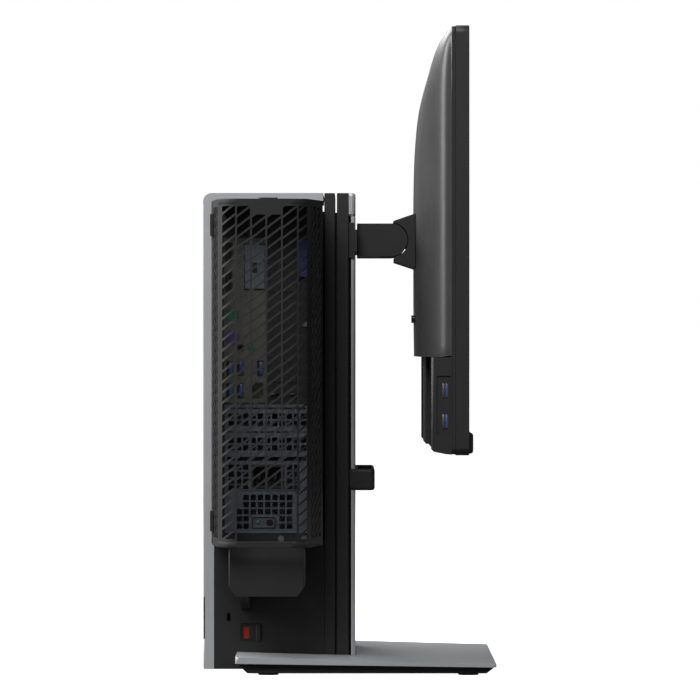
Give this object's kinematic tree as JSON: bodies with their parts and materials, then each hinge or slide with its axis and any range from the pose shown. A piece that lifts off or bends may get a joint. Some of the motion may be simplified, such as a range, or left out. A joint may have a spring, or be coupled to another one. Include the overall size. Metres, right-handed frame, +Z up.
{
  "type": "mini pc",
  "caption": "Slim desktop computer standing on edge in a tower stand, with a mesh cable cover on its connector side and a flat display on a height, tilt and pivot arm.",
  "frame": {"origin": "on the desk below the centre of the assembly's bounding box", "axes": "+Z up; the display faces -Y; the computer's connector side, under its cable cover, faces -X"},
  "size_m": [0.532, 0.2522, 0.5453],
  "materials": {
    "silver_paint": "satin silver powder coat",
    "black_plastic": "fine moulded grain",
    "dark_plastic": "fine moulded grain",
    "bezel_plastic": "satin moulded",
    "key_plastic": "polished",
    "cover_plastic": "fine moulded grain",
    "black_sheet": "textured black coat",
    "zinc_sheet": "zinc plated",
    "steel": "bright rolled",
    "aluminium_fin": "extruded",
    "panel_glass": "anti-glare",
    "rubber": "moulded",
    "red_plastic": "moulded",
    "blue_plastic": "moulded",
    "socket_plastic": "moulded",
    "board": "solder mask"
  },
  "bodies": {
    "stand": {"base_plate": "silver_paint", "base_underbody": "black_plastic", "ballast_plate": "steel", "base_feet": "rubber", "rear_shell": "silver_paint", "mid_frame": "black_plastic", "backbone": "steel", "column_housing": "black_plastic", "lift_rails": "steel", "front_plate": "silver_paint", "front_cap": "silver_paint", "lower_housing": "black_plastic", "bay_tray": "black_plastic", "bay_pads": "rubber", "lock_indicator": "red_plastic", "cable_chute": "dark_plastic", "cable_clip": "dark_plastic"},
    "cable_door": {"rear_cable_door": "silver_paint"},
    "lock_grip": {"lock_slider": "dark_plastic"},
    "bolt": {"lock_bolt": "steel"},
    "carriage": {"carriage_saddle": "black_sheet", "arm_housing": "black_plastic", "tilt_pin": "steel"},
    "tilt_head": {"tilt_bracket": "black_plastic", "pivot_hub": "steel"},
    "display": {"display_back_cover": "dark_plastic", "display_io_cover": "dark_plastic", "display_usb_ports": "zinc_sheet", "display_mid_trim": "black_plastic", "display_bezel": "bezel_plastic", "lcd_panel": "panel_glass", "display_chin_strip": "bezel_plastic", "mount_plate": "steel"},
    "release": {"release_button": "key_plastic"},
    "key_left": {"menu_key_left": "key_plastic"},
    "key_right": {"menu_key_right": "key_plastic"},
    "key_power": {"display_power_key": "key_plastic"},
    "computer": {"case_shell": "black_sheet", "case_rear_panel": "black_sheet", "io_shield": "zinc_sheet", "port_shells": "zinc_sheet", "port_inserts": "socket_plastic", "supply_case": "zinc_sheet", "power_inlet": "black_plastic", "main_board": "board", "cooler_fins": "aluminium_fin", "storage_drive": "aluminium_fin", "case_front_panel": "dark_plastic", "cooler_fan_frame": "black_plastic"},
    "latch_lever": {"card_latch": "blue_plastic"},
    "test_button": {"supply_test_button": "key_plastic"},
    "power_button": {"case_power_button": "key_plastic"},
    "fan": {"cooler_fan": "black_plastic"},
    "small_fan": {"supply_fan": "black_plastic"},
    "cable_cover": {"cover_front_grille": "cover_plastic", "cover_left_grille": "cover_plastic", "cover_right_grille": "cover_plastic", "cover_top": "cover_plastic", "cover_bottom_rim": "cover_plastic"},
    "cover_catch": {"cover_latch": "black_plastic"}
  },
  "joints": [
    {"name": "display_height", "type": "slide", "parent": "stand", "child": "carriage", "axis": [0, 0, 1], "range_m": [-0.13, 0]},
    {"name": "display_tilt", "type": "hinge", "parent": "carriage", "child": "tilt_head", "pos_m": [0, -0.03695, 0.3735], "axis": [-1, 0, 0], "range_deg": [-5, 21]},
    {"name": "display_pivot", "type": "hinge", "parent": "tilt_head", "child": "display", "pos_m": [0, -0.0621, 0.3735], "axis": [0, 1, 0], "range_deg": [0, 90]},
    {"name": "release_press", "type": "slide", "parent": "display", "child": "release", "axis": [0, -1, 0], "range_m": [0, 0.0025], "stiffness_N_per_m": 300},
    {"name": "menu_left_press", "type": "slide", "parent": "display", "child": "key_left", "axis": [0, 1, 0], "range_m": [0, 0.0005], "stiffness_N_per_m": 300},
    {"name": "menu_right_press", "type": "slide", "parent": "display", "child": "key_right", "axis": [0, 1, 0], "range_m": [0, 0.0005], "stiffness_N_per_m": 300},
    {"name": "display_power_press", "type": "slide", "parent": "display", "child": "key_power", "axis": [0, 1, 0], "range_m": [0, 0.0005], "stiffness_N_per_m": 300},
    {"name": "computer_slide", "type": "slide", "parent": "stand", "child": "computer", "axis": [1, 0, 0], "range_m": [-0.21, 0]},
    {"name": "cover_pull", "type": "slide", "parent": "computer", "child": "cable_cover", "axis": [-1, 0, 0], "range_m": [0, 0.1]},
    {"name": "cover_catch_press", "type": "slide", "parent": "cable_cover", "child": "cover_catch", "axis": [0, 0, -1], "range_m": [0, 0.0014], "stiffness_N_per_m": 400},
    {"name": "card_latch_turn", "type": "hinge", "parent": "computer", "child": "latch_lever", "pos_m": [-0.1488, 0.0424, 0.3555], "axis": [0, 0, -1], "range_deg": [0, 60]},
    {"name": "supply_test_press", "type": "slide", "parent": "computer", "child": "test_button", "axis": [1, 0, 0], "range_m": [0, 0.0008], "stiffness_N_per_m": 300},
    {"name": "case_power_press", "type": "slide", "parent": "computer", "child": "power_button", "axis": [-1, 0, 0], "range_m": [0, 0.001], "stiffness_N_per_m": 300},
    {"name": "cooler_fan_spin", "type": "hinge", "parent": "computer", "child": "fan", "pos_m": [0, 0.054, 0.331], "axis": [0, 1, 0], "continuous": true},
    {"name": "supply_fan_spin", "type": "hinge", "parent": "computer", "child": "small_fan", "pos_m": [-0.136, 0.0696, 0.209], "axis": [1, 0, 0], "continuous": true},
    {"name": "bolt_lift", "type": "slide", "parent": "stand", "child": "bolt", "axis": [0, 0, 1], "range_m": [0, 0.006]},
    {"name": "lock_slide", "type": "slide", "parent": "stand", "child": "lock_grip", "axis": [0, 1, 0], "range_m": [0, 0.006]},
    {"name": "cable_door_pull", "type": "slide", "parent": "stand", "child": "cable_door", "axis": [0, 1, 0], "range_m": [0, 0.05]}
  ],
  "couplings": [
    {"joint": "lock_slide", "follows": "bolt_lift", "ratio": 1}
  ]
}
